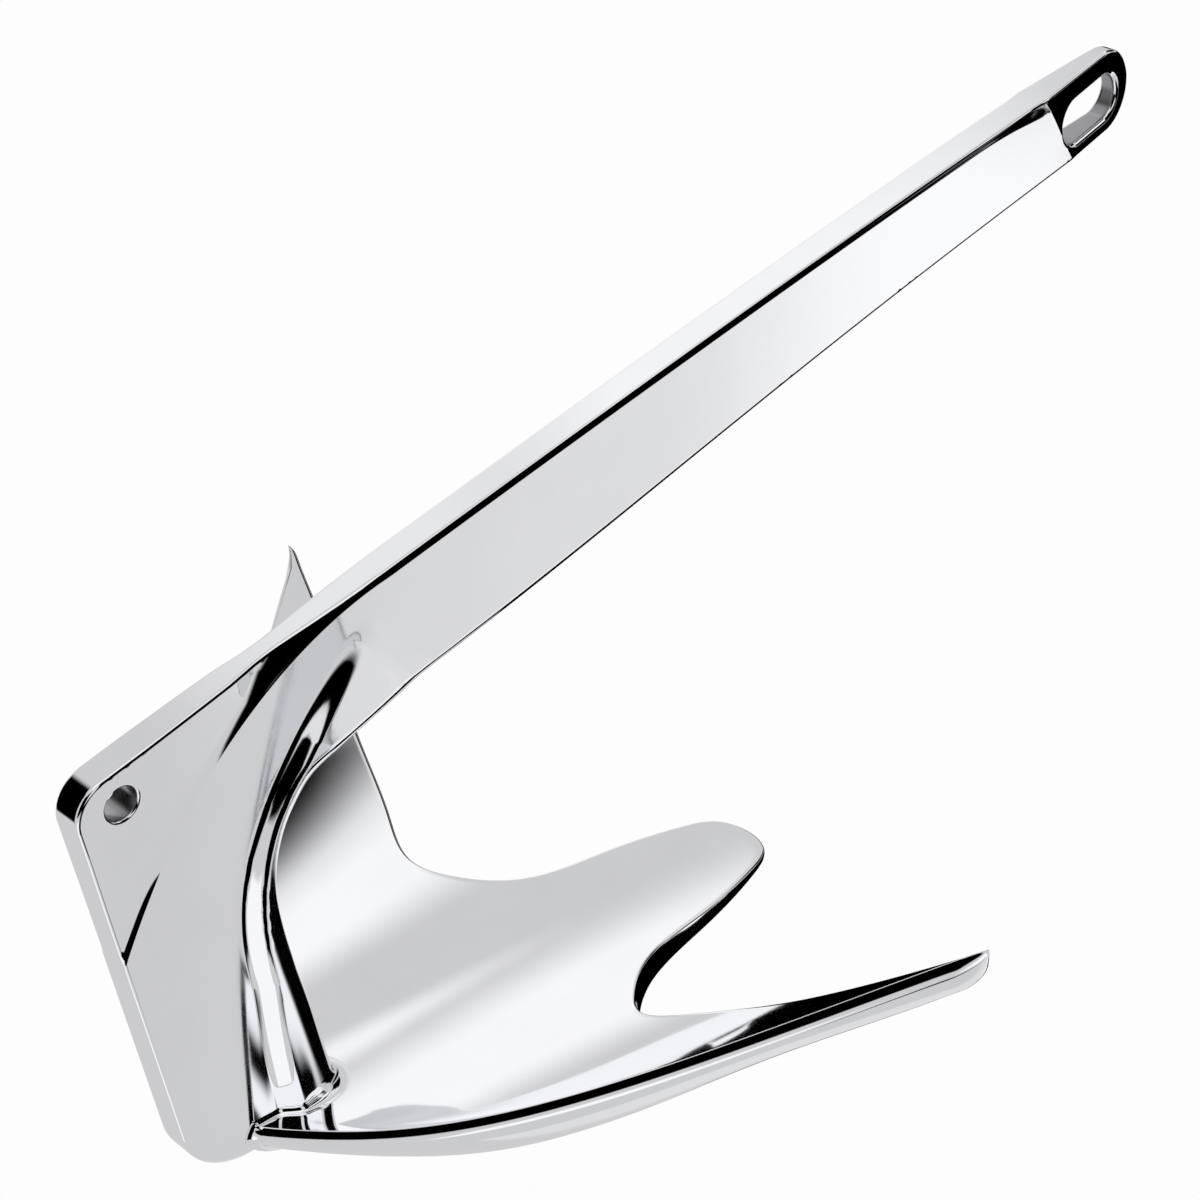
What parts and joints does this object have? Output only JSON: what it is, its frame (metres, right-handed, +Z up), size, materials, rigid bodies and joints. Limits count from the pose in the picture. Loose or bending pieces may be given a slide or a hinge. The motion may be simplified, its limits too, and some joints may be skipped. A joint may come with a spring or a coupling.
{
  "type": "claw anchor",
  "caption": "cast claw anchor: flat shank with a shackle slot and a trip-line hole, deep web and a hollowed claw with a centre fluke between swept side flukes.",
  "frame": {"origin": "on the floor, under the centre of the anchor's outer box, with the claw down and the shank's eye raised as it comes to rest on a flat floor", "axes": "+Z up, +X along the shank from the crown to the shackle slot, Y across the claw, which is the same on both sides"},
  "size_m": [0.594, 0.401, 0.3238],
  "materials": {
    "polished_steel": "polished"
  },
  "bodies": {
    "root": {"anchor": "polished_steel"}
  },
  "joints": []
}
